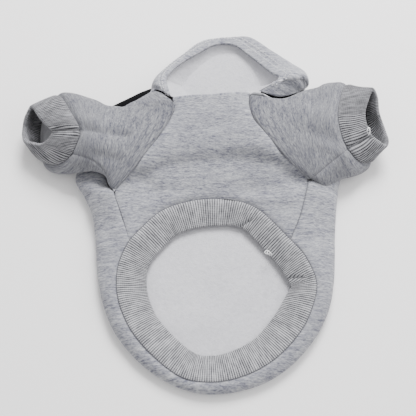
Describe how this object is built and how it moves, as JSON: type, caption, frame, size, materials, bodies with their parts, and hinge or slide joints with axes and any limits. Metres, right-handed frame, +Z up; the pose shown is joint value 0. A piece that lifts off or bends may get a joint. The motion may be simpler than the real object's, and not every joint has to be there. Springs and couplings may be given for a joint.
{
  "type": "dog hoodie",
  "caption": "Small fleece dog hoodie lying on its back, with ribbed cuffs, a wide ribbed belly opening and the hood thrown back open.",
  "frame": {"origin": "on the table, under the middle of the outline of the lying hoodie", "axes": "+Z up from the table, +Y from the tail towards the hood, +X towards the sleeve on the right of the picture"},
  "size_m": [0.2992, 0.3066, 0.0386],
  "materials": {
    "fleece_grey": "heather-grey brushed fleece",
    "rib_grey": "heather-grey rib knit",
    "yoke_black": "plain black fleece"
  },
  "bodies": {
    "root": {"back_panel": "fleece_grey", "back_yoke": "yoke_black", "chest_panel": "fleece_grey", "waist_band": "rib_grey", "hood": "fleece_grey", "sleeve_left": "fleece_grey", "sleeve_right": "fleece_grey", "cuff_left": "rib_grey", "cuff_right": "rib_grey"}
  },
  "joints": []
}
